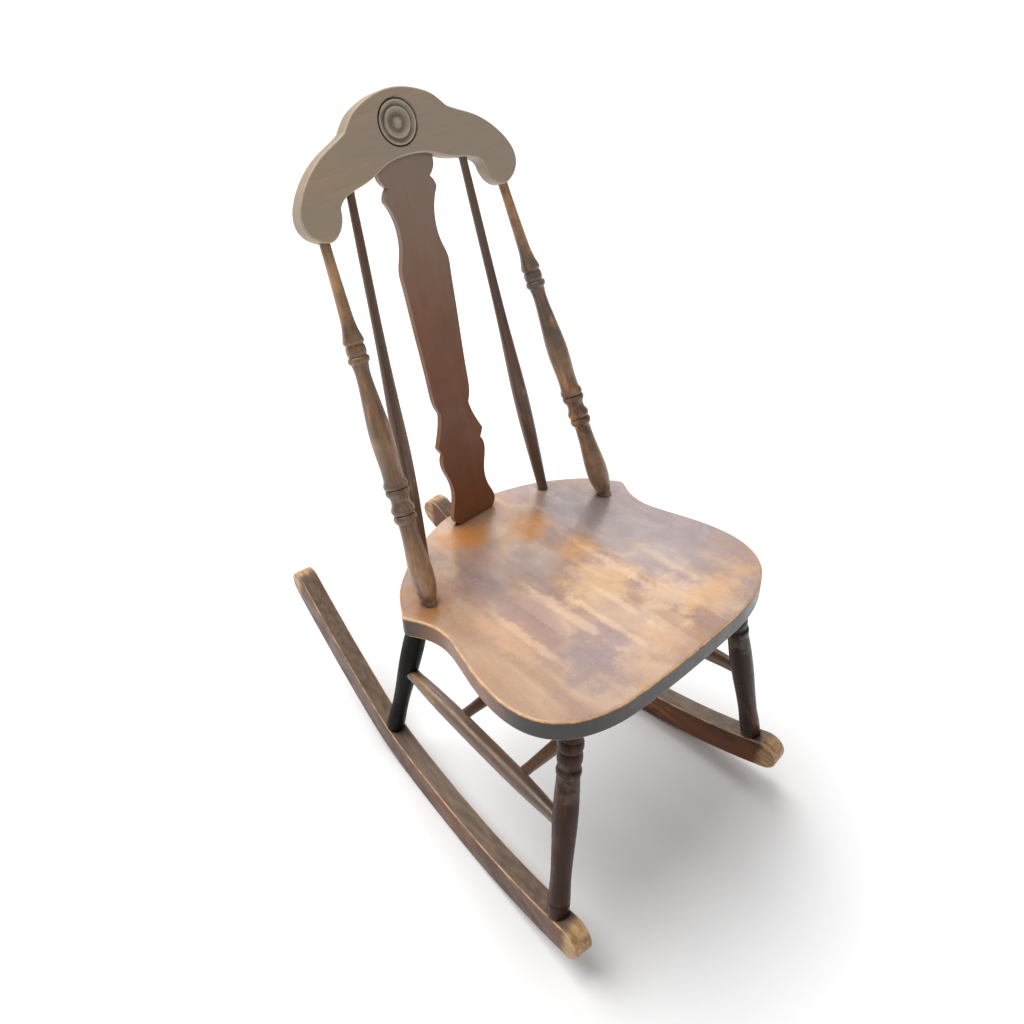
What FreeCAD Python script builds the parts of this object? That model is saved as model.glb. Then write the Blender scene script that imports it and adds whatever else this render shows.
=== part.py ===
import FreeCAD, Part
import math
import os

from FreeCAD import Placement, Rotation, Vector

# Armless sewing rocker in turned and sawn hardwood.
# World frame: +Z up, floor at z = 0, the sitter faces -Y, mirror plane x = 0.
# "Right" and "left" are the sitter's own sides: right is -X, left is +X.
# The seat frame has its origin on the seat's top face, midway between the feet of the
# two outer back spindles; its y runs rearwards along the seat and its z is the seat normal.

os.makedirs("parts", exist_ok=True)
doc = FreeCAD.newDocument("rocking_chair")

# ---------------------------------------------------------------- driving dimensions (mm, degrees)

DIMS = {
    "seat_height": 384.0,
    "seat_tilt": 4.5,
    "back_line": -17.9,
    "seat_thickness": 29.0,
    "seat_round": 3.0,
    "seat_joint_right": -86.0,
    "seat_joint_middle": 18.0,
    "seat_joint_left": 68.0,
    "glue_gap": 0.1,
    "fit_gap": 0.15,
    "socket_depth": 21.0,
    "leg_tenon_radius": 12.0,
    "foot_tenon_radius": 6.0,
    "foot_tenon_length": 22.0,
    "stretcher_tenon_radius": 9.2,
    "cross_tenon_radius": 7.4,
    "outer_foot_radius": 8.6,
    "outer_top_radius": 6.2,
    "inner_foot_radius": 6.8,
    "inner_top_radius": 5.0,
    "crest_thickness": 20.0,
    "crest_round": 2.5,
    "crest_lean": 19.1,
    "crest_front": 5.5,
    "roundel_height": 535.5,
    "roundel_radius": 27.5,
    "roundel_ridge": 16.0,
    "roundel_button": 6.6,
    "roundel_depth": 3.6,
    "splat_thickness": 8.0,
    "splat_front": 92.5,
    "splat_lean": 10.2,
    "splat_tongue_half": 26.0,
    "splat_tongue_depth": 18.0,
    "rocker_width": 28.0,
    "rocker_height": 47.0,
    "rocker_round": 2.5,
    "rocker_track": 175.0,
    "rocker_toe": 5.9,
    "rocker_contact": -49.7,
    "rest_arc_radius": 1100.0,
    "front_arc_radius": 820.0,
    "heel_arc_radius": 305.0,
    "tail_arc_radius": 1660.0,
}

sheet = doc.addObject("Spreadsheet::Sheet", "Dims")
sheet.Label = "Dims"
for row, (alias, value) in enumerate(DIMS.items(), start=1):
    sheet.set("A%d" % row, alias)
    sheet.set("B%d" % row, "%.6g" % value)
    sheet.setAlias("B%d" % row, alias)
doc.recompute()


def dim(alias):
    return float(DIMS[alias])


# ---------------------------------------------------------------- frames

SEAT_FRAME = Placement(
    Vector(0, dim("back_line"), dim("seat_height")),
    Rotation(Vector(1, 0, 0), -dim("seat_tilt")),
)

SIDES = {"right": -1, "left": 1}


def seat_point(x, y, z):
    """World position of a point given in the seat frame."""
    return SEAT_FRAME.multVec(Vector(x, y, z))


def along(start, end):
    """Placement at start whose local z points at end."""
    return Placement(start, Rotation(Vector(0, 0, 1), end - start))


def between(start, end, share):
    return start + (end - start) * share


# ---------------------------------------------------------------- building helpers


def origin_plane(body, role):
    for feature in body.Origin.OriginFeatures:
        if feature.Role == role:
            return feature
    raise ValueError(role)


def new_body(name, placement):
    body = doc.addObject("PartDesign::Body", name)
    body.Placement = placement
    return body


def add_sketch(body, name, role, curves):
    sketch = body.newObject("Sketcher::SketchObject", name)
    sketch.AttachmentSupport = [(origin_plane(body, role), "")]
    sketch.MapMode = "FlatFace"
    for curve in curves:
        sketch.addGeometry(curve, False)
    return sketch


def line(a, b):
    return Part.LineSegment(Vector(a[0], a[1], 0), Vector(b[0], b[1], 0))


def spline(points):
    curve = Part.BSplineCurve()
    curve.interpolate([Vector(x, y, 0) for x, y in points])
    return curve


def spline_level_ends(points):
    """A smooth curve that leaves its first point along x and meets its last point along x."""
    curve = Part.BSplineCurve()
    leave = Vector(points[1][0] - points[0][0], 0, 0)
    arrive = Vector(points[-1][0] - points[-2][0], 0, 0)
    nodes = [Vector(x, y, 0) for x, y in points]
    curve.interpolate(Points=nodes, InitialTangent=leave, FinalTangent=arrive)
    return curve


def outline(runs):
    """Curves for a chain of runs: two points make a line, more make a smooth curve."""
    return [line(*run) if len(run) == 2 else spline(run) for run in runs]


def turned(name, runs, placement):
    """A lathe-turned piece; runs give (distance along the axis, radius) from one end to the other."""
    body = new_body(name, placement)
    flipped = [[(radius, station) for station, radius in run] for run in runs]
    first, last = flipped[0][0], flipped[-1][-1]
    curves = [line((0, first[1]), first)] + outline(flipped)
    curves += [line(last, (0, last[1])), line((0, last[1]), (0, first[1]))]
    sketch = add_sketch(body, name + "_profile", "XZ_Plane", curves)
    turn = body.newObject("PartDesign::Revolution", name + "_turning")
    turn.Profile = sketch
    turn.ReferenceAxis = (sketch, ["V_Axis"])
    turn.Angle = 360.0
    body.Tip = turn
    return body


def slab(name, role, curves, width_alias, placement, midplane):
    """A flat piece sawn to an outline and of the thickness named in the sheet."""
    body = new_body(name, placement)
    sketch = add_sketch(body, name + "_outline", role, curves)
    pad = body.newObject("PartDesign::Pad", name + "_pad")
    pad.Profile = sketch
    pad.setExpression("Length", "Dims." + width_alias)
    pad.Midplane = midplane
    body.Tip = pad
    doc.recompute()
    return body, pad


def round_edges(body, pad, name, radius_alias, keep):
    """Round the edges of the pad that keep() accepts."""
    names = ["Edge%d" % (i + 1) for i, edge in enumerate(pad.Shape.Edges) if keep(edge)]
    fillet = body.newObject("PartDesign::Fillet", name + "_round")
    fillet.Base = (pad, names)
    fillet.setExpression("Radius", "Dims." + radius_alias)
    body.Tip = fillet
    return fillet


def rod(name, radius_expression, start, end):
    """A round peg or drill from start to end."""
    peg = doc.addObject("Part::Cylinder", name)
    peg.setExpression("Radius", radius_expression)
    peg.Height = (end - start).Length
    peg.Placement = along(start, end)
    return peg


def drill(name, radius_alias, start, end):
    return rod(name, "Dims.%s + Dims.fit_gap" % radius_alias, start, end)


def block(name, low, high, placement):
    box = doc.addObject("Part::Box", name)
    box.Length = high[0] - low[0]
    box.Width = high[1] - low[1]
    box.Height = high[2] - low[2]
    box.Placement = placement.multiply(Placement(Vector(*low), Rotation()))
    return box


def cut(name, base, tools):
    """The base with every tool removed."""
    result = base
    for count, tool in enumerate(tools, start=1):
        step = doc.addObject("Part::Cut", "%s_cut%d" % (name, count))
        step.Base = result
        step.Tool = tool
        result = step
    return result


def fuse(name, base, tool):
    joined = doc.addObject("Part::Fuse", name)
    joined.Base = base
    joined.Tool = tool
    return joined


# ---------------------------------------------------------------- rockers

HEIGHT = dim("rocker_height")
REST_HALF_SWEEP = math.radians(4.8)
FRONT_END = math.radians(18.65)
HEEL_END = math.radians(23.9)
TAIL_SWEEP = math.radians(7.8)


def rocker_frame(side):
    """Local y runs rearwards along the rocker from its lowest point, z is up."""
    base = Vector(SIDES[side] * dim("rocker_track"), dim("rocker_contact"), 0)
    return Placement(base, Rotation(Vector(0, 0, 1), SIDES[side] * dim("rocker_toe")))


def next_centre(centre, radius, next_radius, angle):
    """Centre of the arc that carries on without a kink from the arc before it."""
    reach = radius - next_radius
    return (centre[0] + reach * math.sin(angle), centre[1] - reach * math.cos(angle))


def rocker_arcs():
    """Centre (y, z), radius and angle range of the tangent arcs of the running edge.

    The flat arc under the seat is where the empty chair rests."""
    rest = dim("rest_arc_radius")
    front = dim("front_arc_radius")
    heel = dim("heel_arc_radius")
    tail = dim("tail_arc_radius")
    centre_rest = (0.0, rest)
    centre_front = next_centre(centre_rest, rest, front, -REST_HALF_SWEEP)
    centre_heel = next_centre(centre_rest, rest, heel, REST_HALF_SWEEP)
    centre_tail = next_centre(centre_heel, heel, tail, HEEL_END)
    return [
        (centre_front, front, -FRONT_END, -REST_HALF_SWEEP),
        (centre_rest, rest, -REST_HALF_SWEEP, REST_HALF_SWEEP),
        (centre_heel, heel, REST_HALF_SWEEP, HEEL_END),
        (centre_tail, tail, HEEL_END, HEEL_END + TAIL_SWEEP),
    ]


def arc_point(centre, radius, angle):
    return (centre[0] + radius * math.sin(angle), centre[1] - radius * math.cos(angle))


def arc_curve(centre, radius, start, end):
    a, b, c = (arc_point(centre, radius, t) for t in (start, (start + end) / 2, end))
    return Part.Arc(Vector(a[0], a[1], 0), Vector(b[0], b[1], 0), Vector(c[0], c[1], 0))


def end_round(centre, radius, angle, outward):
    """Half-round end of the rocker, bulging along its length."""
    low = arc_point(centre, radius, angle)
    high = arc_point(centre, radius - HEIGHT, angle)
    middle = arc_point(centre, radius - HEIGHT / 2, angle)
    tip = (
        middle[0] + outward * HEIGHT / 2 * math.cos(angle),
        middle[1] + outward * HEIGHT / 2 * math.sin(angle),
    )
    return Part.Arc(Vector(low[0], low[1], 0), Vector(tip[0], tip[1], 0), Vector(high[0], high[1], 0))


def rocker_outline():
    arcs = rocker_arcs()
    curves = [arc_curve(c, r, a, b) for c, r, a, b in arcs]
    curves += [arc_curve(c, r - HEIGHT, a, b) for c, r, a, b in arcs]
    first, last = arcs[0], arcs[-1]
    curves.append(end_round(first[0], first[1], first[2], -1))
    curves.append(end_round(last[0], last[1], last[3], 1))
    return curves


def rocker_top(side, reach):
    """World point on the rocker's upper edge, reach measured rearwards from the lowest point."""
    for centre, radius, start, end in rocker_arcs():
        inner = radius - HEIGHT
        if centre[0] + inner * math.sin(start) <= reach <= centre[0] + inner * math.sin(end):
            angle = math.asin((reach - centre[0]) / inner)
            point = arc_point(centre, inner, angle)
            return rocker_frame(side).multVec(Vector(0, point[0], point[1]))
    raise ValueError(reach)


def runs_lengthwise(edge):
    box = edge.BoundBox
    return max(box.YLength, box.ZLength) > dim("rocker_width")


rocker_blanks = {}
rocker_saddles = {}
for side in SIDES:
    name = "rocker_" + side
    body, pad = slab(
        name + "_blank", "YZ_Plane", rocker_outline(), "rocker_width", rocker_frame(side), True
    )
    round_edges(body, pad, name, "rocker_round", runs_lengthwise)
    rocker_blanks[side] = body
    arcs = rocker_arcs()
    saddle_curves = [
        arc_curve(c, r - HEIGHT - dim("fit_gap"), a, b) for c, r, a, b in arcs
    ]
    ends = [
        arc_point(arcs[0][0], arcs[0][1] - HEIGHT - dim("fit_gap"), arcs[0][2]),
        arc_point(arcs[-1][0], arcs[-1][1] - HEIGHT - dim("fit_gap"), arcs[-1][3]),
    ]
    floor = -HEIGHT
    saddle_curves += [
        line(ends[0], (ends[0][0], floor)),
        line((ends[0][0], floor), (ends[1][0], floor)),
        line((ends[1][0], floor), ends[1]),
    ]
    saddle = new_body(name + "_saddle", rocker_frame(side))
    saddle_sketch = add_sketch(saddle, name + "_saddle_outline", "YZ_Plane", saddle_curves)
    saddle_pad = saddle.newObject("PartDesign::Pad", name + "_saddle_pad")
    saddle_pad.Profile = saddle_sketch
    saddle_pad.setExpression("Length", "Dims.rocker_width * 3")
    saddle_pad.Midplane = True
    saddle.Tip = saddle_pad
    rocker_saddles[side] = saddle

# ---------------------------------------------------------------- seat boards

SEAT_HALF = [
    (72, -278.5),
    (113, -275),
    (151, -264),
    (180, -246),
    (199, -219),
    (206.5, -185),
    (204.5, -150),
    (197, -115),
    (187, -80),
    (182, -54),
    (185, -28),
    (194, -8),
    (198.5, 3),
    (193, 14),
    (174, 42),
    (147, 67),
    (110, 92),
    (60, 112.5),
]
seat_side = [(0, -280)] + SEAT_HALF + [(0, 120)]
seat_curves = [
    spline_level_ends(seat_side),
    spline_level_ends([(-x, y) for x, y in seat_side]),
]

seat_blank, seat_pad = slab(
    "seat_blank", "XY_Plane", seat_curves, "seat_thickness", SEAT_FRAME, False
)
seat_pad.Reversed = True
doc.recompute()
round_edges(seat_blank, seat_pad, "seat", "seat_round", lambda edge: edge.BoundBox.ZLength < 1)

SEAT_REACH = 300.0
joints = [dim("seat_joint_right"), dim("seat_joint_middle"), dim("seat_joint_left")]
board_names = ["seat_board_right", "seat_board_middle", "seat_board_narrow", "seat_board_left"]
board_edges = [-SEAT_REACH] + joints + [SEAT_REACH]
seat_boards = {}
for index, name in enumerate(board_names):
    low = board_edges[index] + dim("glue_gap") / 2
    high = board_edges[index + 1] - dim("glue_gap") / 2
    window = block(
        name + "_window", (low, -SEAT_REACH, -SEAT_REACH), (high, SEAT_REACH, SEAT_REACH), SEAT_FRAME
    )
    board = doc.addObject("Part::Common", name + "_blank")
    board.Base = seat_blank
    board.Tool = window
    seat_boards[name] = board

board_tools = {name: [] for name in board_names}


def bore_board(x, tool):
    """Give the drill to the board that lies under x."""
    for index, name in enumerate(board_names):
        if board_edges[index] < x < board_edges[index + 1]:
            board_tools[name].append(tool)


# ---------------------------------------------------------------- legs

UNDER_SEAT = -dim("seat_thickness")
FRONT_LEG_TOP = (146.0, -229.0)
REAR_LEG_TOP = (128.0, 50.0)
FRONT_FOOT_REACH = -251.0
REAR_FOOT_REACH = 127.0

leg_axes = {}
for side, sign in SIDES.items():
    for which, top, reach in (
        ("front", FRONT_LEG_TOP, FRONT_FOOT_REACH),
        ("rear", REAR_LEG_TOP, REAR_FOOT_REACH),
    ):
        head = seat_point(sign * top[0], top[1], UNDER_SEAT)
        leg_axes[which, side] = (head, rocker_top(side, reach))


def front_leg_runs(length, head, foot):
    """Station and radius from the tenon's end down to past the rocker's top."""
    tenon = dim("leg_tenon_radius")
    return [
        [(-head, tenon), (4, tenon)],
        [(4, tenon), (16, 13.2), (30, 13.8)],
        [(30, 13.8), (33, 15.0), (38, 15.5), (43, 15.0), (46, 13.4)],
        [(46, 13.4), (50, 14.6), (56, 15.2), (62, 14.6), (66, 13.4)],
        [(66, 13.4), (68, 13.0), (70, 13.4)],
        [(70, 13.4), (72, 14.6), (76, 15.2), (80, 14.6), (82, 13.6)],
        [
            (82, 13.6),
            (97, 14.4),
            (117, 15.1),
            (138, 15.4),
            (165, 15.1),
            (length * 0.63, 14.2),
            (length * 0.72, 13.3),
            (length * 0.79, 12.9),
            (length - 48, 13.1),
            (length - 34, 13.8),
            (length - 22, 14.0),
        ],
        [(length - 22, 14.0), (length - 20.5, 13.2), (length - 19, 14.0)],
        [(length - 19, 14.0), (length - 8, 13.9), (length + foot, 13.6)],
    ]


def rear_leg_runs(length, head, foot):
    tenon = dim("leg_tenon_radius")
    return [
        [(-head, tenon), (2, tenon)],
        [
            (2, tenon),
            (45, 13.2),
            (length * 0.38, 15.2),
            (length * 0.55, 14.2),
            (length * 0.74, 11.8),
            (length * 0.82, 11.6),
            (length * 0.91, 12.5),
            (length + foot, 12.2),
        ],
    ]


FOOT_RUN = 12.0
leg_shapes = {}
rocker_tools = {side: [] for side in SIDES}
for (which, side), (head, foot) in leg_axes.items():
    name = "%s_leg_%s" % (which, side)
    length = (foot - head).Length
    runs_of = front_leg_runs if which == "front" else rear_leg_runs
    runs = runs_of(length, dim("socket_depth") - 1.0, FOOT_RUN)
    body = turned(name + "_turned", runs, along(head, foot))
    direction = (foot - head).normalize()
    shaped = cut(name + "_saddled", body, [rocker_saddles[side]])
    tenon_end = foot + direction * dim("foot_tenon_length")
    tenon = rod(name + "_tenon", "Dims.foot_tenon_radius", foot - direction * 15.0, tenon_end)
    leg_shapes[which, side] = fuse(name + "_tenoned", shaped, tenon)
    bore_end = tenon_end + direction * 1.0
    rocker_tools[side].append(
        drill(name + "_foot_bore", "foot_tenon_radius", foot - direction * 15.0, bore_end)
    )
    socket_end = head - direction * dim("socket_depth")
    bore_board(
        SIDES[side] * (FRONT_LEG_TOP if which == "front" else REAR_LEG_TOP)[0],
        drill(name + "_socket", "leg_tenon_radius", head + direction * 15.0, socket_end),
    )

# ---------------------------------------------------------------- stretchers

SIDE_AT_FRONT = 0.53
SIDE_AT_REAR = 0.55
SIDE_CLEAR = 3.0
CROSS_SHARES = {"rear": 0.36, "front": 0.73}
CROSS_CLEAR = 2.0

side_axes = {}
for side in SIDES:
    front_head, front_foot = leg_axes["front", side]
    rear_head, rear_foot = leg_axes["rear", side]
    side_axes[side] = (
        between(rear_head, rear_foot, SIDE_AT_REAR),
        between(front_head, front_foot, SIDE_AT_FRONT),
    )


def stretcher_runs(length, tenon, shoulder, swell, centre):
    """Straight tenon ends and a long swelling between them."""
    return [
        [(0, tenon), (length * 0.07, tenon)],
        [
            (length * 0.07, tenon),
            (length * 0.16, shoulder),
            (length * 0.32, (shoulder + swell) / 2 + 0.6),
            (length * centre, swell),
            (length * (1 - 0.32), (shoulder + swell) / 2 + 0.6),
            (length * (1 - 0.16), shoulder),
            (length * (1 - 0.07), tenon),
        ],
        [(length * (1 - 0.07), tenon), (length, tenon)],
    ]


stretcher_shapes = {}
leg_tools = {key: [] for key in leg_shapes}
for side, (rear, front) in side_axes.items():
    name = "side_stretcher_" + side
    direction = (front - rear).normalize()
    start = rear + direction * SIDE_CLEAR
    end = front - direction * SIDE_CLEAR
    runs = stretcher_runs((end - start).Length, dim("stretcher_tenon_radius"), 10.9, 12.5, 0.5)
    stretcher_shapes[side] = turned(name + "_turned", runs, along(start, end))
    outward = 30.0
    leg_tools["rear", side].append(
        drill(name + "_rear_bore", "stretcher_tenon_radius", start - direction, start + direction * outward)
    )
    leg_tools["front", side].append(
        drill(name + "_front_bore", "stretcher_tenon_radius", end + direction, end - direction * outward)
    )

stretcher_tools = {side: [] for side in SIDES}
cross_shapes = {}
for which, share in CROSS_SHARES.items():
    name = "cross_stretcher_" + which
    right = between(*side_axes["right"], share)
    left = between(*side_axes["left"], share)
    direction = (left - right).normalize()
    start = right + direction * CROSS_CLEAR
    end = left - direction * CROSS_CLEAR
    runs = stretcher_runs((end - start).Length, dim("cross_tenon_radius"), 8.8, 10.4, 0.5)
    cross_shapes[which] = turned(name + "_turned", runs, along(start, end))
    stretcher_tools["right"].append(
        drill(name + "_right_bore", "cross_tenon_radius", start - direction, start + direction * 20.0)
    )
    stretcher_tools["left"].append(
        drill(name + "_left_bore", "cross_tenon_radius", end + direction, end - direction * 20.0)
    )

# ---------------------------------------------------------------- crest rail

CREST_FRAME = SEAT_FRAME.multiply(
    Placement(Vector(0, dim("crest_front"), 0), Rotation(Vector(1, 0, 0), -dim("crest_lean")))
)
CREST_TOP = [(22, 570), (42, 563.5), (54, 557.5), (64, 549), (72, 540)]
CREST_LOBE = [
    (72, 540),
    (85, 533.5),
    (98, 528),
    (112, 521),
    (125, 512),
    (138, 500),
    (149, 486),
    (156, 470),
    (155.5, 456),
    (148, 444.5),
    (138, 438),
    (128, 435.5),
    (118, 439.5),
    (110, 448),
    (105, 460),
]
CREST_UNDER = [
    (105, 460),
    (102, 469),
    (94, 475),
    (82, 479),
    (68, 482),
    (55, 485.5),
    (43, 490.5),
    (28, 496),
]


def mirrored(points):
    return [(-x, y) for x, y in reversed(points)]


crest_runs = [
    mirrored(CREST_TOP) + [(0, 572.5)] + CREST_TOP,
    CREST_LOBE,
    CREST_UNDER + [(0, 499)] + mirrored(CREST_UNDER),
    mirrored(CREST_LOBE),
]
crest_blank, crest_pad = slab(
    "crest_blank", "XZ_Plane", outline(crest_runs), "crest_thickness", CREST_FRAME, False
)
crest_pad.Reversed = True
doc.recompute()
round_edges(
    crest_blank, crest_pad, "crest", "crest_round", lambda edge: edge.BoundBox.YLength < 1
)

roundel_frame = CREST_FRAME.multiply(
    Placement(Vector(0, 0, dim("roundel_height")), Rotation(Vector(1, 0, 0), 90))
)
ROUNDEL_OVERCUT = 6.0


def roundel_curves():
    """Half section of the carving: button, cove, ridge, cove, ridge and the groove round it all."""
    rim = dim("roundel_radius")
    ridge = dim("roundel_ridge")
    button = dim("roundel_button")
    deep = -dim("roundel_depth")
    outer_ridge = rim - 3.6
    carving = [
        [(0, deep * 0.1), (button * 0.5, deep * 0.16), (button * 0.84, deep * 0.45), (button, deep * 0.85)],
        [(button, deep * 0.85), (button + 2.2, deep), (ridge - 3.4, deep * 0.7), (ridge - 0.5, deep * 0.12)],
        [(ridge - 0.5, deep * 0.12), (ridge + 0.5, deep * 0.12)],
        [(ridge + 0.5, deep * 0.12), (ridge + 1.8, deep * 0.55), (ridge + 2.4, deep * 0.86)],
        [
            (ridge + 2.4, deep * 0.86),
            (ridge + 4.0, deep * 0.82),
            (outer_ridge - 1.6, deep * 0.4),
            (outer_ridge, deep * 0.1),
        ],
        [(outer_ridge, deep * 0.1), (outer_ridge + 0.8, deep * 0.3), (outer_ridge + 1.6, deep * 0.85)],
        [(outer_ridge + 1.6, deep * 0.85), (rim, 0)],
    ]
    top = [[(rim, 0), (rim, ROUNDEL_OVERCUT)], [(rim, ROUNDEL_OVERCUT), (0, ROUNDEL_OVERCUT)]]
    axis = [[(0, ROUNDEL_OVERCUT), (0, deep * 0.1)]]
    return outline(carving + top + axis)


roundel = new_body("roundel", roundel_frame)
roundel_sketch = add_sketch(roundel, "roundel_section", "XZ_Plane", roundel_curves())
roundel_turning = roundel.newObject("PartDesign::Revolution", "roundel_turning")
roundel_turning.Profile = roundel_sketch
roundel_turning.ReferenceAxis = (roundel_sketch, ["V_Axis"])
roundel_turning.Angle = 360.0
roundel.Tip = roundel_turning
crest_tools = [roundel]

# ---------------------------------------------------------------- back spindles

OUTER_FOOT = (158.5, 0.0)
OUTER_TOP = (132.8, 407.0)
INNER_FOOT = (109.0, 73.0)
INNER_TOP = (82.5, 447.0)
CREST_SOCKET = 24.0


def crest_mid_y(z):
    """Seat-frame y of the crest's middle thickness at seat-frame height z."""
    lean = math.radians(dim("crest_lean"))
    return dim("crest_front") + z * math.tan(lean) + dim("crest_thickness") / 2 / math.cos(lean)


def outer_runs(length, foot, top):
    """Turnings of an outer spindle; stations from the seat face upwards."""
    low = dim("outer_foot_radius")
    high = dim("outer_top_radius")
    return [
        [(-foot, low), (4, low)],
        [(4, low), (14, 12.0), (30, 14.4), (44, 14.7), (60, 13.6), (78, 11.9), (96, 10.8), (108, 10.7)],
        [(108, 10.7), (110.5, 13.0), (114.5, 14.2), (118, 13.2), (119.5, 11.6)],
        [(119.5, 11.6), (121.5, 13.4), (125.5, 14.4), (129, 13.4), (131, 12.2)],
        [(131, 12.2), (134.5, 11.4), (138.5, 11.3), (142, 12.2), (144, 13.2)],
        [(144, 13.2), (146, 14.4), (148.5, 14.8), (151, 14.2), (152.5, 12.6)],
        [(152.5, 12.6), (154, 14.4), (157, 15.0), (160, 14.2), (162.5, 12.9)],
        [
            (162.5, 12.9),
            (170, 12.4),
            (182, 12.6),
            (200, 13.6),
            (218, 14.0),
            (235, 13.1),
            (250, 11.8),
            (265, 10.5),
            (280, 9.3),
            (292, 8.9),
            (304, 10.2),
        ],
        [(304, 10.2), (306, 12.2), (309, 12.9), (311.5, 12.2), (313, 10.4)],
        [(313, 10.4), (315.5, 11.5), (319.5, 11.9), (323.5, 11.4), (326, 10.2)],
        [(326, 10.2), (327.5, 11.6), (330, 12.5)],
        [(330, 12.5), (334, 11.6), (340, 10.0), (348, 8.6), (358, 7.8)],
        [(358, 7.8), (385, 7.0), (length - 16, high)],
        [(length - 16, high), (length + top, high)],
    ]


def inner_runs(length, foot, top):
    low = dim("inner_foot_radius")
    high = dim("inner_top_radius")
    return [
        [(-foot, low), (2, low)],
        [
            (2, low),
            (30, 8.0),
            (60, 9.0),
            (95, 10.0),
            (130, 10.4),
            (165, 10.0),
            (200, 8.8),
            (240, 7.4),
            (280, 6.4),
            (340, 5.8),
            (400, 5.5),
            (length - 14, high),
        ],
        [(length - 14, high), (length + top, high)],
    ]


spindle_shapes = {}
for which, foot_at, top_at, runs_of, foot_alias, top_alias in (
    ("outer", OUTER_FOOT, OUTER_TOP, outer_runs, "outer_foot_radius", "outer_top_radius"),
    ("inner", INNER_FOOT, INNER_TOP, inner_runs, "inner_foot_radius", "inner_top_radius"),
):
    for side, sign in SIDES.items():
        name = "%s_spindle_%s" % (which, side)
        foot = seat_point(sign * foot_at[0], foot_at[1], 0)
        top = seat_point(sign * top_at[0], crest_mid_y(top_at[1]), top_at[1])
        length = (top - foot).Length
        runs = runs_of(length, dim("socket_depth") - 1.0, CREST_SOCKET - 1.0)
        spindle_shapes[which, side] = turned(name + "_turned", runs, along(foot, top))
        direction = (top - foot).normalize()
        socket_floor = foot - direction * dim("socket_depth")
        bore_board(
            sign * foot_at[0],
            drill(name + "_seat_bore", foot_alias, socket_floor, foot + direction * 30.0),
        )
        socket_top = top + direction * CREST_SOCKET
        crest_tools.append(
            drill(name + "_crest_bore", top_alias, top - direction * 16.0, socket_top)
        )

# ---------------------------------------------------------------- back splat

SPLAT_FRAME = SEAT_FRAME.multiply(
    Placement(Vector(0, dim("splat_front"), 0), Rotation(Vector(1, 0, 0), -dim("splat_lean")))
)
TONGUE = dim("splat_tongue_half")
TONGUE_END = -dim("splat_tongue_depth")
SPLAT_TOP = 492.0
HEAD = 40.0
SPLAT_SHOULDER = [
    (TONGUE, 0.4),
    (33, 4),
    (36.5, 11),
    (36, 20),
    (31.5, 32),
    (28, 46),
    (28.5, 62),
    (33, 78),
    (36, 92),
    (32, 107),
]
SPLAT_SPUR = [(32, 107), (35, 112), (38, 118.5)]
SPLAT_SWEEP = [(38, 118.5), (33, 130), (27.5, 144), (23.5, 162)]
SPLAT_WAIST = [
    (23.5, 162),
    (28.5, 176),
    (30, 200),
    (31.5, 245),
    (34, 300),
    (35.5, 336),
    (35.5, 352),
    (30.5, 368),
    (27, 386),
    (27.5, 404),
    (31, 419),
    (38, 433.5),
]
SPLAT_NECK = [(38, 433.5), (36.5, 440), (31.2, 447.5)]
SPLAT_HEAD = [(31.2, 447.5), (36, 452.5), (39.5, 459), (40, 466), (HEAD, 474)]
splat_half = [
    [(TONGUE, TONGUE_END), (TONGUE, 0.4)],
    SPLAT_SHOULDER,
    SPLAT_SPUR,
    SPLAT_SWEEP,
    SPLAT_WAIST,
    SPLAT_NECK,
    SPLAT_HEAD,
    [(HEAD, 474), (HEAD, SPLAT_TOP)],
]
splat_runs = [[(-TONGUE, TONGUE_END), (TONGUE, TONGUE_END)]] + splat_half
splat_runs += [[(HEAD, SPLAT_TOP), (-HEAD, SPLAT_TOP)]]
splat_runs += [mirrored(run) for run in reversed(splat_half)]
splat_blank, splat_pad = slab(
    "splat_blank", "XZ_Plane", outline(splat_runs), "splat_thickness", SPLAT_FRAME, False
)
splat_pad.Reversed = True

gap = dim("fit_gap")
shoulder_trims = [
    block("splat_trim_right", (-60.0, 60.0, -40.0), (-TONGUE, 160.0, gap), SEAT_FRAME),
    block("splat_trim_left", (TONGUE, 60.0, -40.0), (60.0, 160.0, gap), SEAT_FRAME),
]
splat_slot = block(
    "splat_seat_slot",
    (-TONGUE - gap, -gap, TONGUE_END - 1.0),
    (TONGUE + gap, dim("splat_thickness") + gap, 20.0),
    SPLAT_FRAME,
)
crest_slot = block(
    "splat_crest_slot",
    (-HEAD - gap, -gap, 440.0),
    (HEAD + gap, dim("splat_thickness") + gap, SPLAT_TOP + 1.0),
    SPLAT_FRAME,
)
crest_tools.append(crest_slot)
board_tools["seat_board_middle"].append(splat_slot)
board_tools["seat_board_narrow"].append(splat_slot)

# ---------------------------------------------------------------- finished pieces

nodes = {}
for name in board_names:
    nodes[name] = cut(name, seat_boards[name], board_tools[name])
for side in SIDES:
    nodes["rocker_" + side] = cut("rocker_" + side, rocker_blanks[side], rocker_tools[side])
    nodes["side_stretcher_" + side] = cut(
        "side_stretcher_" + side, stretcher_shapes[side], stretcher_tools[side]
    )
for (which, side), shape in leg_shapes.items():
    name = "%s_leg_%s" % (which, side)
    nodes[name] = cut(name, shape, leg_tools[which, side])
for which, shape in cross_shapes.items():
    nodes["cross_stretcher_" + which] = shape
for (which, side), shape in spindle_shapes.items():
    nodes["%s_spindle_%s" % (which, side)] = shape
nodes["back_splat"] = cut("back_splat", splat_blank, shoulder_trims)
nodes["crest_rail"] = cut("crest_rail", crest_blank, crest_tools)

for name, node in nodes.items():
    node.Label = name

doc.recompute()

for obj in doc.Objects:
    if "Invalid" in obj.State or "Error" in obj.State:
        raise RuntimeError("%s did not compute" % obj.Name)

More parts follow.
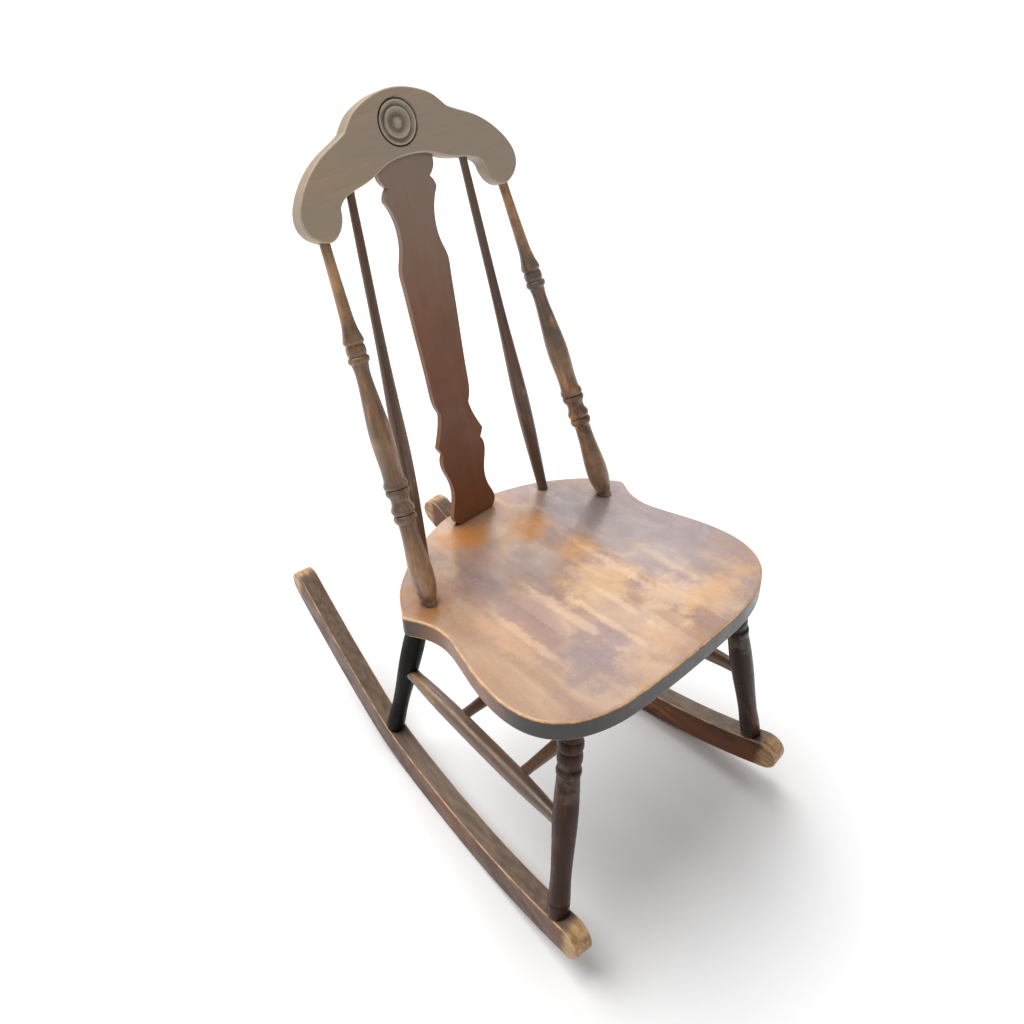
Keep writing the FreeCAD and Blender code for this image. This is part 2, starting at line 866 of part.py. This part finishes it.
for name, node in nodes.items():
    shape = node.Shape
    if shape.isNull() or not shape.isValid() or len(shape.Solids) != 1:
        raise RuntimeError("%s has no single valid solid" % name)
    shape.exportStep("parts/%s.step" % name)
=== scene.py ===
import math

import bpy
import numpy as np
from mathutils import Matrix, Vector

# Looks of the turned rocking chair. Metres, floor at z = 0, the sitter faces -Y.
# Every wooden piece keeps its CAD mesh and gets an aged varnished wood of its own, with the
# grain laid along the piece.

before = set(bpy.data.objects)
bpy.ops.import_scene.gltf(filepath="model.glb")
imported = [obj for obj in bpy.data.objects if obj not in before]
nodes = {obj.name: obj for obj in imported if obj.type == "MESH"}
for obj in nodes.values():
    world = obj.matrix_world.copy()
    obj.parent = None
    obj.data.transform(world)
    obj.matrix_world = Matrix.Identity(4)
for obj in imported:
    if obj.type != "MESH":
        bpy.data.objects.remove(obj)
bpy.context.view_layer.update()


# ---------------------------------------------------------------- colours

def srgb(red, green, blue):
    """Scene-linear colour of an 8-bit display colour."""
    def linear(value):
        value /= 255.0
        return value / 12.92 if value <= 0.04045 else ((value + 0.055) / 1.055) ** 2.4
    return (linear(red), linear(green), linear(blue), 1.0)


# ---------------------------------------------------------------- grain frames

def grain_frame(node):
    """Matrix from the row frame to a piece's own grain frame: Z along the piece, X across
    its thinnest side, origin at its middle."""
    points = np.array([v.co for v in nodes[node].data.vertices], float)
    low, high = points.min(0), points.max(0)
    middle = (low + high) / 2
    spread = np.cov((points - points.mean(0)).T)
    _, axes = np.linalg.eigh(spread)
    along, thin = Vector(axes[:, 2]), Vector(axes[:, 0])
    if along.z + 0.01 * along.y + 0.001 * along.x < 0:
        along = -along
    if thin.y + 0.01 * thin.x < 0:
        thin = -thin
    wide = along.cross(thin)
    turn = Matrix((thin, wide, along)).to_4x4()
    return turn @ Matrix.Translation(-Vector(middle))


# ---------------------------------------------------------------- shader helpers

class Shader:
    """A material's node tree, with one short call per node."""

    def __init__(self, name):
        self.material = bpy.data.materials.new(name)
        self.material.use_nodes = True
        self.tree = self.material.node_tree
        self.tree.nodes.clear()

    def add(self, kind, settings=None, **inputs):
        node = self.tree.nodes.new("ShaderNode" + kind)
        for key, value in (settings or {}).items():
            setattr(node, key, value)
        for key, value in inputs.items():
            self.plug(node.inputs[key.replace("_", " ")], value)
        return node

    def plug(self, socket, value):
        if isinstance(value, bpy.types.NodeSocket):
            self.tree.links.new(value, socket)
        else:
            socket.default_value = value

    def mapped(self, vector, matrix, stretch=(1.0, 1.0, 1.0)):
        """vector in the frame that matrix leads to, then stretched along its axes."""
        placed = self.add("Mapping", Vector=vector)
        placed.inputs["Location"].default_value = matrix.to_translation()
        placed.inputs["Rotation"].default_value = matrix.to_euler()
        if stretch == (1.0, 1.0, 1.0):
            return placed.outputs["Vector"]
        drawn = self.add("Mapping", Vector=placed.outputs["Vector"], Scale=stretch)
        return drawn.outputs["Vector"]

    def noise(self, vector, scale, detail=4.0, rough=0.55, distort=0.0):
        node = self.add("TexNoise", Vector=vector, Scale=scale, Detail=detail,
                        Roughness=rough, Distortion=distort)
        return node.outputs["Fac"]

    def math(self, operation, a, b=0.0, clamp=False):
        node = self.add("Math", {"operation": operation, "use_clamp": clamp})
        self.plug(node.inputs[0], a)
        self.plug(node.inputs[1], b)
        return node.outputs[0]

    def spread(self, value, low, high, to_low=0.0, to_high=1.0):
        """value remapped from low..high to to_low..to_high, held at the ends, eased."""
        node = self.add("MapRange", {"interpolation_type": "SMOOTHSTEP"}, Value=value)
        for index, number in enumerate((low, high, to_low, to_high), start=1):
            node.inputs[index].default_value = number
        return node.outputs["Result"]

    def mix(self, factor, a, b, blend="MIX"):
        node = self.add("Mix", {"data_type": "RGBA", "blend_type": blend})
        self.plug(node.inputs[0], factor)
        self.plug(node.inputs[6], a)
        self.plug(node.inputs[7], b)
        return node.outputs[2]

    def ramp(self, factor, *stops):
        node = self.add("ValToRGB", Fac=factor)
        elements = node.color_ramp.elements
        while len(elements) < len(stops):
            elements.new(0.5)
        for element, (place, colour) in zip(elements, stops):
            element.position = place
            element.color = colour
        return node.outputs["Color"]


# ---------------------------------------------------------------- woods

# Colour of grime and painted shade in grooves, hollows and joins.
RECESS_GRIME_AND_SHADE = srgb(20, 14, 11)
PORE = srgb(34, 24, 18)


def aged_wood(node, tones, tint, worn, worn_share=0.35, wear_and_highlight=0.5, arris=None, seed=0.0,
              gloss=0.34, coat=0.15, level=0.5, figure=0.5, paint=None, sawn=False):
    """Old varnished wood. tones are dark, middle and light; tint drifts over the piece in broad
    clouds; worn is the colour where the varnish has rubbed thin, worn_share how much of the face
    it takes; arris is the colour laid on arrises and ridges, rubbed wear with a painted
    highlight, and the argument before it sets its strength. figure is the contrast of the grain
    and level the strength of the varnish's reflection. paint(shader, place, colour, streaks) may
    lay marks of the piece's own on top, some of them painted light and shade. sawn pieces take
    the arris colour along their outline. Grooves, hollows and joins get grime and painted shade."""
    s = Shader("wood_" + node)
    place = s.add("TexCoord").outputs["Object"]
    frame_of = Matrix.Translation((seed, 0.37 * seed, 0.0)) @ grain_frame(node)
    even = s.mapped(place, frame_of)
    drawn = s.mapped(place, frame_of, (1.0, 1.0, 0.07))
    fine = s.mapped(place, frame_of, (1.0, 1.0, 0.025))
    cloudy = s.mapped(place, frame_of, (1.0, 1.0, 0.45))

    streaks = s.noise(drawn, 170.0, 6.0, 0.60, 0.3)
    fibres = s.noise(fine, 1500.0, 3.0, 0.6)
    bands = s.add("TexWave", {"wave_type": "BANDS", "bands_direction": "Y"}, Vector=drawn,
                  Scale=14.0, Distortion=7.0, Detail=3.0, Detail_Scale=1.6,
                  Detail_Roughness=0.6).outputs["Fac"]
    pores = s.spread(s.noise(fine, 900.0, 2.0, 0.5), 0.60, 0.70)
    mottle = s.noise(even, 11.0, 4.0, 0.6)

    grain = s.math("MULTIPLY", streaks, 0.55)
    grain = s.math("ADD", grain, s.math("MULTIPLY", bands, 0.10))
    grain = s.math("ADD", grain, s.math("MULTIPLY", fibres, 0.10))
    grain = s.math("ADD", grain, s.math("MULTIPLY", mottle, 0.35))
    grain = s.math("MULTIPLY", s.math("SUBTRACT", grain, 0.55), figure)
    grain = s.math("ADD", grain, 0.5)
    dark, middle, light = tones
    colour = s.ramp(grain, (0.36, dark), (0.50, middle), (0.64, light))

    clouds = s.spread(s.noise(cloudy, 9.0, 3.0, 0.5, 0.3), 0.40, 0.62, 0.0, 0.75)
    colour = s.mix(clouds, colour, tint)

    patches = s.noise(cloudy, 24.0, 5.0, 0.62, 0.4)
    patches = s.math("ADD", s.math("MULTIPLY", patches, 0.8), s.math("MULTIPLY", streaks, 0.2))
    threshold = 0.62 - 0.22 * worn_share
    rubbed = s.spread(patches, threshold, threshold + 0.14, 0.0, 0.8)
    colour = s.mix(rubbed, colour, worn)

    # Rubbed wear with a painted highlight: the arris colour is laid on convex edges and ridges
    # and broken up by noise.
    edge = s.add("AmbientOcclusion", {"inside": True, "only_local": True, "samples": 6},
                 Distance=0.005).outputs["AO"]
    edge = s.spread(edge, 0.62, 0.35, 0.0, 1.0)
    rim_breakup = s.spread(s.noise(even, 60.0, 4.0, 0.65), 0.38, 0.60)
    rubbed_highlit_rim = s.math("MULTIPLY", s.math("MULTIPLY", edge, rim_breakup), wear_and_highlight)
    if sawn:
        rubbed_highlit_rim = s.math("MULTIPLY", outline_wear_and_highlight(s, node, rim_breakup), wear_and_highlight)
    if paint:
        colour = paint(s, place, colour, streaks)
    colour = s.mix(rubbed_highlit_rim, colour, arris or worn)

    # Grime and painted shade: near black is laid by occlusion in grooves, hollows and where
    # parts meet.
    nook = s.add("AmbientOcclusion", {"samples": 6}, Distance=0.010).outputs["AO"]
    recess_grime_and_shade = s.spread(nook, 0.80, 0.34, 0.0, 0.9)
    colour = s.mix(recess_grime_and_shade, colour, RECESS_GRIME_AND_SHADE)
    colour = s.mix(s.math("MULTIPLY", pores, 0.14), colour, PORE)

    dulled = s.noise(even, 38.0, 4.0, 0.6)
    rough = s.spread(dulled, 0.35, 0.68, gloss - 0.05, gloss + 0.11)
    rough = s.math("ADD", rough, s.math("MULTIPLY", s.math("MAXIMUM", rubbed, rubbed_highlit_rim), 0.06))
    relief = s.math("ADD", s.math("MULTIPLY", fibres, 0.4), s.math("MULTIPLY", streaks, 0.6))
    relief = s.math("SUBTRACT", relief, s.math("MULTIPLY", pores, 0.4))
    relief = s.math("ADD", relief, s.math("MULTIPLY", s.noise(even, 45.0, 2.0), 1.6))
    bump = s.add("Bump", Height=relief, Strength=0.30, Distance=0.0006)

    shade = s.add("BsdfPrincipled", Base_Color=colour, Roughness=rough,
                  Normal=bump.outputs["Normal"])
    shade.inputs["Coat Weight"].default_value = coat
    shade.inputs["Coat Roughness"].default_value = 0.20
    shade.inputs["IOR"].default_value = 1.5
    shade.inputs["Specular IOR Level"].default_value = level
    out = s.add("OutputMaterial")
    s.tree.links.new(shade.outputs["BSDF"], out.inputs["Surface"])
    target = nodes[node]
    target.data.materials.clear()
    target.data.materials.append(s.material)


def outline_wear_and_highlight(s, node, rim_breakup):
    """1 on the rounded arris between a sawn piece's faces and its edges, with some breaks; there
    the arris colour lays rubbed wear with a painted highlight.
    """
    normal = s.add("TexCoord").outputs["Normal"]
    turned = s.add("Mapping", {"vector_type": "NORMAL"}, Vector=normal)
    turned.inputs["Rotation"].default_value = grain_frame(node).to_euler()
    across = s.add("SeparateXYZ", Vector=turned.outputs["Vector"]).outputs["X"]
    across = s.math("ABSOLUTE", across)
    inside = s.spread(across, 0.15, 0.45)
    outside = s.spread(across, 0.985, 0.88)
    broken = s.math("ADD", s.math("MULTIPLY", rim_breakup, 0.6), 0.4)
    return s.math("MULTIPLY", s.math("MULTIPLY", inside, outside), broken)


def facing_up(s, low, high):
    """How far the face looks upwards: 1 on top faces, 0 on sides and undersides."""
    split = s.add("SeparateXYZ", Vector=s.add("TexCoord").outputs["Normal"])
    return s.spread(split.outputs["Z"], low, high)


# Rockers: painted light on the faces turned up, a paler grey-brown top; the sides are warmer.

ROCKER_TOP_LIT = srgb(124, 104, 88)
ROCKER_TOP_LIT_DARK = srgb(96, 80, 68)
ROCKER_CAP = srgb(204, 168, 126)
ROCKER_CAP_DARK = srgb(156, 118, 78)
CAP_START = 0.322    # from here to the tips the sawn ends are worn pale


def rocker_paint(s, place, colour, streaks):
    normal = s.add("SeparateXYZ", Vector=s.add("TexCoord").outputs["Normal"])
    # Painted light: faces turned up take the paler grey-brown of a lit top.
    lit_top = s.mix(s.spread(streaks, 0.30, 0.70), ROCKER_TOP_LIT_DARK, ROCKER_TOP_LIT)
    colour = s.mix(s.spread(normal.outputs["Z"], 0.55, 0.80), colour, lit_top)
    reach = s.math("ABSOLUTE", s.add("SeparateXYZ", Vector=place).outputs["Y"])
    reach = s.math("ADD", reach, s.math("MULTIPLY", s.noise(place, 60.0, 4.0), 0.020))
    cap = s.mix(s.spread(streaks, 0.35, 0.65), ROCKER_CAP_DARK, ROCKER_CAP)
    return s.mix(s.spread(reach, CAP_START + 0.006, CAP_START + 0.020, 0.0, 0.85), colour, cap)


# Front legs: a paler worn band just above the foot and rubbed rings near the seat.

LEG_BAND = srgb(112, 92, 66)
LEG_RING = srgb(118, 104, 92)
BAND_FOOT, BAND_TOP = 0.056, 0.090
RINGS_FOOT, RINGS_TOP = 0.262, 0.330


def leg_paint(s, place, colour, streaks):
    height = s.add("SeparateXYZ", Vector=place).outputs["Z"]
    band = s.math("MULTIPLY", s.spread(height, BAND_FOOT, BAND_FOOT + 0.008),
                  s.spread(height, BAND_TOP, BAND_TOP - 0.010))
    colour = s.mix(s.math("MULTIPLY", band, 0.45), colour, LEG_BAND)
    rings = s.math("MULTIPLY", s.spread(height, RINGS_FOOT, RINGS_FOOT + 0.008),
                   s.spread(height, RINGS_TOP, RINGS_TOP - 0.030))
    rubbed = s.spread(s.noise(place, 70.0, 4.0), 0.42, 0.62)
    return s.mix(s.math("MULTIPLY", s.math("MULTIPLY", rings, rubbed), 0.35), colour, LEG_RING)


# Splat: red-brown at the foot, paler grey-brown towards the crest.

SPLAT_HIGH = srgb(142, 122, 108)
GREYING_START, GREYING_FULL = 0.62, 0.92


def splat_paint(s, place, colour, streaks):
    height = s.add("SeparateXYZ", Vector=place).outputs["Z"]
    height = s.math("ADD", height, s.math("MULTIPLY", s.noise(place, 12.0, 3.0), 0.10))
    return s.mix(s.spread(height, GREYING_START, GREYING_FULL, 0.0, 0.95), colour, SPLAT_HIGH)


# Outer spindles: gold on the foot, the swelling and the upper cone, worn finish and painted
# highlight.

SPINDLE_GOLD_HIGHLIGHT = srgb(190, 144, 100)
# Each worn and highlit stretch: its lowest height, its highest height, strength.
SPINDLE_WORN_AND_HIGHLIT = ((0.395, 0.475, 0.50), (0.540, 0.600, 0.50), (0.700, 0.780, 0.75))


def spindle_paint(s, place, colour, streaks):
    height = s.add("SeparateXYZ", Vector=place).outputs["Z"]
    wander = s.math("MULTIPLY", s.math("SUBTRACT", s.noise(place, 40.0, 4.0), 0.5), 0.06)
    height = s.math("ADD", height, wander)
    flecks = s.spread(s.noise(place, 55.0, 4.0), 0.30, 0.66, 0.35, 1.0)
    # Gold stretches, partly the finish worn through and partly painted highlight.
    for low, high, strength in SPINDLE_WORN_AND_HIGHLIT:
        rise = s.spread(height, low - 0.01, low + 0.03, 0.0, strength)
        fall = s.spread(height, high + 0.01, high - 0.03)
        zone = s.math("MULTIPLY", s.math("MULTIPLY", rise, fall), flecks)
        colour = s.mix(zone, colour, SPINDLE_GOLD_HIGHLIGHT)
    return colour


# Crest: painted highlights, partly rubbed wear, on the roundel's ridges and button; painted
# shade between.
# The rings are set by x and z alone, so they mark the back of the rail too.

ROUNDEL_MIDDLE = Vector((0.0, 0.2020, 0.8743))
ROUNDEL_AXIS_TILT = math.radians(23.6)
RIDGE_HIGHLIGHT = srgb(184, 176, 160)
CARVING_SHADE = srgb(58, 52, 46)
# Each painted highlight ring: its radius and half its width. The last one is the button.
ROUNDEL_HIGHLIGHTS = ((0.0160, 0.0015), (0.0238, 0.0015), (0.0, 0.0060))


def crest_paint(s, place, colour, streaks):
    frame_of = (Matrix.Rotation(ROUNDEL_AXIS_TILT, 4, "X") @ Matrix.Translation(-ROUNDEL_MIDDLE))
    split = s.add("SeparateXYZ", Vector=s.mapped(place, frame_of))
    across, up = split.outputs["X"], split.outputs["Z"]
    reach = s.math("SQRT", s.math("ADD", s.math("MULTIPLY", across, across),
                                  s.math("MULTIPLY", up, up)))
    # Painted shade over the carved roundel.
    inside = s.spread(reach, 0.0285, 0.0265, 0.0, 0.45)
    colour = s.mix(inside, colour, CARVING_SHADE)
    # Painted highlights on the ridges and the button, partly rubbed wear.
    for radius, half in ROUNDEL_HIGHLIGHTS:
        off = s.math("ABSOLUTE", s.math("SUBTRACT", reach, radius))
        colour = s.mix(s.spread(off, half, half * 0.3, 0.0, 0.7), colour, RIDGE_HIGHLIGHT)
    return colour


# Seat: marks are placed in the seat's own frame, origin between the feet of the outer
# spindles, y rearwards along the seat.

SEAT_ORIGIN = Vector((0.0, -0.0179, 0.384))
SEAT_TILT = math.radians(4.5)
SEAT_MATRIX = Matrix.Rotation(SEAT_TILT, 4, "X") @ Matrix.Translation(-SEAT_ORIGIN)
# Painted shade of the seat's edge faces.
SEAT_EDGE_SHADE = srgb(30, 23, 16)
SEAT_EDGE_SHADE_WARM = srgb(120, 70, 34)
SEAT_MAUVE = srgb(138, 116, 118)
SEAT_TAN = srgb(170, 128, 94)
SEAT_CREAM = srgb(208, 176, 138)
SEAT_ROSE = srgb(164, 130, 120)

# Each mark: centre x, centre y, half length across, half length along, strength, colour.
SEAT_MARKS = (
    (-0.048, 0.070, 0.046, 0.034, 0.85, srgb(186, 120, 52)),
    (0.030, 0.022, 0.042, 0.036, 0.80, srgb(188, 126, 58)),
    (0.046, -0.055, 0.032, 0.036, 0.65, srgb(194, 138, 76)),
    (-0.014, -0.025, 0.040, 0.045, 0.65, srgb(152, 134, 130)),
    (-0.085, -0.020, 0.040, 0.060, 0.60, srgb(130, 110, 106)),
    (0.112, 0.000, 0.052, 0.080, 0.75, srgb(122, 112, 114)),
    (0.140, -0.120, 0.060, 0.080, 0.55, srgb(150, 136, 140)),
    (0.014, -0.120, 0.055, 0.046, 0.60, srgb(214, 172, 118)),
    (0.064, -0.196, 0.046, 0.040, 0.55, srgb(222, 184, 148)),
    (0.110, -0.236, 0.070, 0.030, 0.60, srgb(206, 158, 104)),
    (-0.160, 0.012, 0.050, 0.055, 0.75, srgb(160, 108, 60)),
    (-0.132, -0.110, 0.026, 0.060, 0.50, srgb(206, 158, 118)),
    (-0.086, -0.205, 0.060, 0.060, 0.80, srgb(138, 116, 116)),
    (-0.020, -0.238, 0.060, 0.030, 0.50, srgb(208, 170, 132)),
)
# Each pale streak runs along the boards: x, middle y, half width, half length, strength.
SEAT_STREAKS = (
    (-0.055, -0.130, 0.009, 0.085, 0.50),
    (-0.030, -0.170, 0.006, 0.070, 0.45),
    (-0.118, -0.120, 0.007, 0.080, 0.40),
    (0.004, -0.165, 0.006, 0.060, 0.40),
    (0.052, -0.110, 0.008, 0.090, 0.40),
    (0.104, -0.160, 0.007, 0.060, 0.30),
)
STREAK = srgb(226, 190, 154)


def seat_mark(s, across, along, wobble, mark):
    """Soft patch on the seat, 1 in its middle and 0 outside."""
    x, y, half_x, half_y = mark[:4]
    a = s.math("DIVIDE", s.math("SUBTRACT", across, x), half_x)
    b = s.math("DIVIDE", s.math("SUBTRACT", along, y), half_y)
    reach = s.math("SQRT", s.math("ADD", s.math("MULTIPLY", a, a), s.math("MULTIPLY", b, b)))
    reach = s.math("ADD", reach, wobble)
    return s.spread(reach, 1.15, 0.35, 0.0, mark[4])


def seat_paint(s, place, colour, streaks):
    seat = s.mapped(place, SEAT_MATRIX)
    split = s.add("SeparateXYZ", Vector=seat)
    across, along = split.outputs["X"], split.outputs["Y"]
    drift = s.math("MULTIPLY", s.math("SUBTRACT", s.noise(seat, 34.0, 8.0, 0.78), 0.5), 3.6)
    cells = s.add("TexVoronoi", {"feature": "SMOOTH_F1"}, Scale=24.0, Smoothness=0.7,
                  Vector=s.mapped(place, SEAT_MATRIX, (1.0, 0.45, 1.0)))
    share = s.add("SeparateColor", Color=cells.outputs["Color"]).outputs["Red"]
    patchy = s.ramp(share, (0.15, SEAT_MAUVE), (0.40, SEAT_TAN), (0.62, SEAT_CREAM),
                    (0.85, SEAT_ROSE))
    colour = s.mix(0.42, colour, patchy)
    for mark in SEAT_MARKS:
        colour = s.mix(seat_mark(s, across, along, drift, mark), colour, mark[5])
    for streak in SEAT_STREAKS:
        colour = s.mix(seat_mark(s, across, along, drift, streak), colour, STREAK)
    # Painted shade: the edge faces, turned away from the top, go near black, warmer over a
    # middle stretch.
    reach = s.math("ADD", along, s.math("MULTIPLY", s.noise(seat, 9.0, 3.0), 0.10))
    warm = s.math("MULTIPLY", s.spread(reach, -0.16, -0.09), s.spread(reach, 0.05, 0.00))
    edge = s.mix(warm, SEAT_EDGE_SHADE, SEAT_EDGE_SHADE_WARM)
    return s.mix(facing_up(s, 0.45, 0.85), edge, colour)


# ---------------------------------------------------------------- tones of each piece

# Dark, middle and light tone of each wood.
BLACKENED = (srgb(8, 8, 7), srgb(15, 14, 12), srgb(26, 22, 19))
DARK_BROWN = (srgb(18, 12, 9), srgb(34, 22, 15), srgb(60, 38, 25))
SPINDLE = (srgb(56, 42, 32), srgb(108, 80, 58), srgb(160, 122, 88))
INNER_BROWN = (srgb(54, 34, 24), srgb(98, 64, 44), srgb(138, 94, 64))
RED_BROWN = (srgb(110, 60, 28), srgb(128, 74, 36), srgb(146, 88, 48))
GREY_BROWN = (srgb(154, 133, 110), srgb(166, 144, 119), srgb(180, 158, 131))
WALNUT = (srgb(44, 26, 14), srgb(80, 46, 24), srgb(118, 72, 38))
GOLDEN = (srgb(84, 62, 46), srgb(126, 97, 74), srgb(168, 134, 106))
SEAT = (srgb(120, 88, 70), srgb(148, 112, 90), srgb(180, 142, 114))
SEAT_GREY = (srgb(130, 110, 104), srgb(152, 130, 124), srgb(178, 154, 144))
ORANGE = srgb(206, 146, 90)
TAN = srgb(176, 138, 98)
AMBER = srgb(186, 122, 58)
PALE_ARRIS = srgb(206, 164, 122)
SEAT_ARRIS = srgb(226, 176, 122)

aged_wood("crest_rail", GREY_BROWN, tint=srgb(156, 142, 128), worn=srgb(176, 150, 126),
          worn_share=0.10, wear_and_highlight=0.6, arris=srgb(196, 176, 152), seed=1.0, gloss=0.40, coat=0.0,
          level=0.5, figure=0.22, paint=crest_paint, sawn=True)
aged_wood("back_splat", RED_BROWN, tint=srgb(116, 70, 38), worn=srgb(142, 92, 56),
          worn_share=0.10, wear_and_highlight=0.4, arris=srgb(150, 104, 74), seed=2.0, gloss=0.34, coat=0.0,
          level=0.5, figure=0.35, paint=splat_paint, sawn=True)
for index, side in enumerate(("right", "left")):
    seed = 3.0 + 7.0 * index
    aged_wood("outer_spindle_" + side, SPINDLE, tint=srgb(92, 84, 74), worn=ORANGE,
              worn_share=0.60, wear_and_highlight=0.9, arris=srgb(214, 190, 160), seed=seed, gloss=0.24,
              coat=0.3, level=0.5, figure=0.6, paint=spindle_paint)
    aged_wood("inner_spindle_" + side, INNER_BROWN, tint=srgb(92, 70, 54), worn=ORANGE,
              worn_share=0.20, wear_and_highlight=0.4, seed=seed + 1, gloss=0.28, coat=0.2, level=0.5,
              figure=0.7)
    aged_wood("front_leg_" + side, DARK_BROWN, tint=srgb(56, 28, 16), worn=srgb(104, 52, 28),
              worn_share=0.35, wear_and_highlight=0.7, arris=srgb(138, 112, 92), seed=seed + 2, gloss=0.30,
              coat=0.0, level=0.18, figure=0.7, paint=leg_paint)
    aged_wood("rear_leg_" + side, BLACKENED, tint=srgb(18, 15, 13), worn=srgb(38, 28, 22),
              worn_share=0.10, wear_and_highlight=0.3, seed=seed + 3, gloss=0.40, coat=0.0, level=0.06,
              figure=0.6)
    aged_wood("side_stretcher_" + side, GOLDEN, tint=srgb(92, 72, 58), worn=TAN,
              worn_share=0.25, wear_and_highlight=0.4, seed=seed + 4, gloss=0.32, coat=0.0, level=0.7,
              figure=0.5)
    aged_wood("rocker_" + side, WALNUT, tint=srgb(112, 64, 34), worn=AMBER, worn_share=0.25,
              wear_and_highlight=0.9, arris=PALE_ARRIS, seed=seed + 5, gloss=0.36, coat=0.0, level=0.25,
              figure=0.5, paint=rocker_paint, sawn=True)
for index, end in enumerate(("front", "rear")):
    aged_wood("cross_stretcher_" + end, GOLDEN, tint=srgb(74, 54, 42), worn=TAN, worn_share=0.2,
              wear_and_highlight=0.4, seed=21.0 + index, gloss=0.32, coat=0.0, level=0.4, figure=0.6)
for index, (board, tones, tint, worn, share) in enumerate((
    ("right", SEAT, srgb(160, 132, 124), AMBER, 0.10),
    ("middle", SEAT, srgb(176, 144, 126), AMBER, 0.15),
    ("narrow", SEAT, srgb(186, 144, 112), AMBER, 0.20),
    ("left", SEAT_GREY, srgb(146, 130, 128), TAN, 0.12),
)):
    aged_wood("seat_board_" + board, tones, tint, worn, worn_share=share, wear_and_highlight=0.9,
              arris=SEAT_ARRIS, seed=31.0 + 2.0 * index, gloss=0.26, coat=0.0, level=0.55,
              figure=0.5, paint=seat_paint, sawn=True)


# ---------------------------------------------------------------- floor and light

FLOOR_HALF = 30.0
TARGET = Vector((0.0, 0.0, 0.40))


def floor_material():
    s = Shader("studio_floor")
    place = s.add("TexCoord").outputs["Object"]
    shade = s.noise(place, 1.5, 3.0)
    colour = s.ramp(shade, (0.3, (0.90, 0.90, 0.90, 1.0)), (0.7, (0.93, 0.93, 0.93, 1.0)))
    surface = s.add("BsdfPrincipled", Base_Color=colour)
    surface.inputs["Roughness"].default_value = 0.9
    surface.inputs["Specular IOR Level"].default_value = 0.1
    out = s.add("OutputMaterial")
    s.tree.links.new(surface.outputs["BSDF"], out.inputs["Surface"])
    return s.material


def make_floor():
    mesh = bpy.data.meshes.new("floor")
    h = FLOOR_HALF
    mesh.from_pydata([(-h, -h, 0), (h, -h, 0), (h, h, 0), (-h, h, 0)], [], [(0, 1, 2, 3)])
    floor = bpy.data.objects.new("floor", mesh)
    bpy.context.scene.collection.objects.link(floor)
    mesh.materials.append(floor_material())


def softbox(name, place, width, height, power, warmth=(1.0, 1.0, 1.0)):
    light = bpy.data.lights.new(name, "AREA")
    light.shape = "RECTANGLE"
    light.size = width
    light.size_y = height
    light.energy = power
    light.color = warmth
    lamp = bpy.data.objects.new(name, light)
    lamp.location = place
    lamp.rotation_euler = (TARGET - Vector(place)).to_track_quat("-Z", "Y").to_euler()
    lamp.visible_camera = False
    bpy.context.scene.collection.objects.link(lamp)


def sunlight(name, towards, power, spread):
    """Soft light from the direction of towards, spread in degrees."""
    light = bpy.data.lights.new(name, "SUN")
    light.energy = power
    light.angle = math.radians(spread)
    lamp = bpy.data.objects.new(name, light)
    lamp.rotation_euler = Vector(towards).to_track_quat("Z", "Y").to_euler()
    bpy.context.scene.collection.objects.link(lamp)


def make_world(strength):
    world = bpy.data.worlds.new("studio")
    world.use_nodes = True
    background = world.node_tree.nodes["Background"]
    background.inputs["Color"].default_value = (1.0, 1.0, 1.0, 1.0)
    background.inputs["Strength"].default_value = strength
    bpy.context.scene.world = world


make_floor()
softbox("key", (-1.7, 1.5, 2.7), 2.2, 2.2, 8.0, (1.0, 0.98, 0.95))
softbox("rear", (1.6, 1.9, 2.2), 2.0, 1.4, 26.0)
softbox("front", (-1.2, -2.6, 2.6), 2.4, 1.6, 3.0)
sunlight("daylight", (-0.14, 0.52, 1.0), 2.85, 50.0)
make_world(0.39)
bpy.context.scene.view_settings.view_transform = "Standard"


# ---------------------------------------------------------------- camera

CAMERA_PLACE = Vector((-0.6672, -0.6766, 1.2302))
CAMERA_AZIMUTH = math.radians(-43.54)
CAMERA_DROP = math.radians(39.31)
CAMERA_ROLL = math.radians(0.88)
CAMERA_LENS = 33.74
CAMERA_SHIFT = (0.0105, -0.0136)


def make_camera():
    data = bpy.data.cameras.new("camera")
    data.sensor_width = 36.0
    data.lens = CAMERA_LENS
    data.shift_x, data.shift_y = CAMERA_SHIFT
    data.clip_start = 0.05
    data.clip_end = 100.0
    camera = bpy.data.objects.new("camera", data)
    flat = math.cos(CAMERA_DROP)
    forward = Vector((
        -math.sin(CAMERA_AZIMUTH) * flat,
        math.cos(CAMERA_AZIMUTH) * flat,
        -math.sin(CAMERA_DROP),
    ))
    aim = forward.to_track_quat("-Z", "Y").to_matrix()
    roll = Matrix.Rotation(CAMERA_ROLL, 3, "Z")
    camera.rotation_euler = (aim @ roll).to_euler()
    camera.location = CAMERA_PLACE
    bpy.context.scene.collection.objects.link(camera)
    bpy.context.scene.camera = camera


make_camera()
